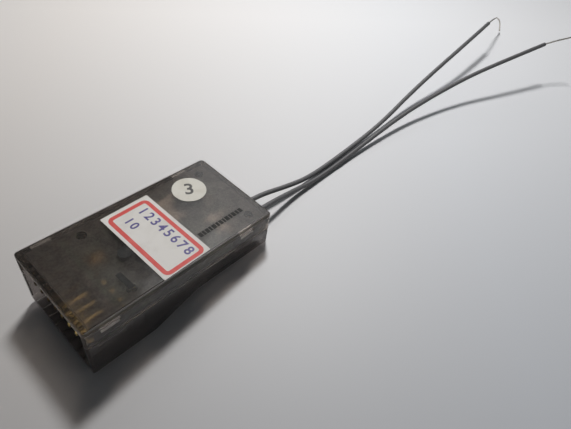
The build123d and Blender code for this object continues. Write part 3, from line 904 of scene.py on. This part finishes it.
red_frame = flat_rounded(frame_length, frame_width, frame_corner)
middle = red_frame.faces[:]
bmesh.ops.inset_region(
    red_frame, faces=middle, thickness=frame_stroke, use_boundary=True, use_even_offset=True
)
bmesh.ops.delete(red_frame, geom=middle, context="FACES_ONLY")
thicken(red_frame, print_film)
set_on_case(red_frame, *frame_place, label_top_z, label_turn)
add_piece("label_red_frame", red_frame, frame_red)

# %% [markdown]
# ## Plain numbers
#
# The label holds the plain numbers of the eight sockets and a row number, and the round
# sticker holds one plain number. A text object is the easy way to get figures. Its curve
# is made a mesh first, and only then turned and placed, as the prints above.


# %% Figures
def plain_text(name, words, size, x, y, z, turn, material, spacing, weight):
    """Plain figures, made a mesh, on the level case."""
    curve = bpy.data.curves.new(name, "FONT")
    curve.body = words
    curve.size = size
    curve.space_character = spacing
    curve.align_x = "CENTER"
    curve.align_y = "CENTER"
    curve.offset = weight
    curve.extrude = print_film / 2
    curve.resolution_u = 4
    holder = bpy.data.objects.new(name, curve)
    bpy.context.collection.objects.link(holder)
    # The text gets its shape only when the scene is brought up to date.
    bpy.context.view_layer.update()
    drawn = bpy.data.meshes.new_from_object(holder)
    bpy.data.objects.remove(holder)
    bpy.data.curves.remove(curve)
    work = bmesh.new()
    work.from_mesh(drawn)
    bpy.data.meshes.remove(drawn)
    bmesh.ops.translate(work, vec=(0, 0, print_film / 2), verts=work.verts)
    set_on_case(work, x, y, z, turn)
    add_piece(name, work, material)


sticker_thickness = 0.1
pen_violet = print_ink("pen_violet", (0.035, 0.022, 0.17), (0.08, 0.06, 0.24), roughness=0.5)
marker_black = print_ink(
    "marker_black", (0.025, 0.022, 0.02), (0.06, 0.055, 0.05), roughness=0.45
)
along_label = label_turn - 90
plain_text(
    "label_numbers", "12345678", size=3.2, x=1.9, y=-1.4, z=label_top_z,
    turn=along_label, material=pen_violet, spacing=1.35, weight=0.06,
)
plain_text(
    "label_row_number", "10", size=2.9, x=-2.3, y=4.6, z=label_top_z,
    turn=along_label, material=pen_violet, spacing=1.3, weight=0.06,
)
plain_text(
    "sticker_number", "3", size=5.0, x=13.85, y=5.45, z=back_z + sticker_thickness,
    turn=-30, material=marker_black, spacing=1.0, weight=0.08,
)

# %% [markdown]
# ## Plain marks on the back
#
# The back carries dark plain shapes on both sides of the label: a broken bar, a short bar
# and a round spot that the label half covers. The broken bar is a row of plain blocks of
# changing length with a small gap between them.

# %% Broken bar
back_print = print_ink("back_print", (0.012, 0.012, 0.011), (0.03, 0.028, 0.026), roughness=0.8)
block_lengths = [0.9, 0.6, 0.85, 0.55, 1.0, 0.65, 0.8, 0.55, 0.95, 0.6, 0.9, 0.7, 0.85]
block_width = 1.25
block_gap = 0.22
broken_bar = bmesh.new()
reach = 0.0
for block_length in block_lengths:
    made = bmesh.ops.create_grid(broken_bar, x_segments=1, y_segments=1, size=0.5)
    bmesh.ops.scale(broken_bar, vec=(block_length, block_width, 1), verts=made["verts"])
    bmesh.ops.translate(broken_bar, vec=(reach + block_length / 2, 0, 0), verts=made["verts"])
    reach += block_length + block_gap
thicken(broken_bar, print_film)
set_on_case(broken_bar, x=6.4, y=-7.1, z=back_z, turn=0.8)
add_piece("back_broken_bar", broken_bar, back_print)

# %% Short bar and round spot
short_bar = flat_rounded(length=1.2, width=4.4, corner=0.15, segments=2)
thicken(short_bar, print_film)
set_on_case(short_bar, x=-11.6, y=-6.8, z=back_z, turn=3)
add_piece("back_short_bar", short_bar, back_print)

round_spot = bmesh.new()
bmesh.ops.create_circle(round_spot, cap_ends=True, segments=40, radius=1.5)
thicken(round_spot, print_film)
set_on_case(round_spot, x=-7.7, y=-1.0, z=back_z)
add_piece("back_round_spot", round_spot, back_print)

# %% [markdown]
# ## Painted glint in the snap windows
#
# A glint shows on the lower edge of the two near snap windows, where the catch sits. It is
# painted: a thin pale strip of faces, leaned by 45 degrees and given a little thickness,
# stands for the highlight there.

# %% Painted glint strips
# Painted highlight: pale strips stand for the glint on the lower edge of the near windows.
glint_strip_finish = matt_solid(
    "glint_strip_plastic", light=(0.66, 0.65, 0.63), dark=(0.52, 0.51, 0.50),
    roughness=0.16, grain_scale=2500, relief_mm=0.01,
)
window_middles = (-18.45, 15.9)
near_sill_y = -12.23
window_sill_z = 12.0
edge_length, edge_width, edge_thickness = 3.9, 0.38, 0.02
edge_rise = 0.16
lean = Matrix.Rotation(math.radians(45), 3, "X")
window_edge = bmesh.new()
for middle_x in window_middles:
    made = bmesh.ops.create_grid(window_edge, x_segments=8, y_segments=1, size=0.5)
    strip = made["verts"]
    bmesh.ops.scale(window_edge, vec=(edge_length, edge_width, 1), verts=strip)
    bmesh.ops.rotate(window_edge, cent=(0, 0, 0), matrix=lean, verts=strip)
    sill = (middle_x, near_sill_y, window_sill_z + edge_rise)
    bmesh.ops.translate(window_edge, vec=sill, verts=strip)
thicken(window_edge, edge_thickness)
add_piece("window_edge_near", window_edge, glint_strip_finish)

# %% [markdown]
# ## The boxes of the new objects
#
# At the end the scene is brought up to date, so that the new objects get their boxes.

# %% Boxes and finish
# New objects get their boxes only when the scene is brought up to date.
bpy.context.view_layer.update()
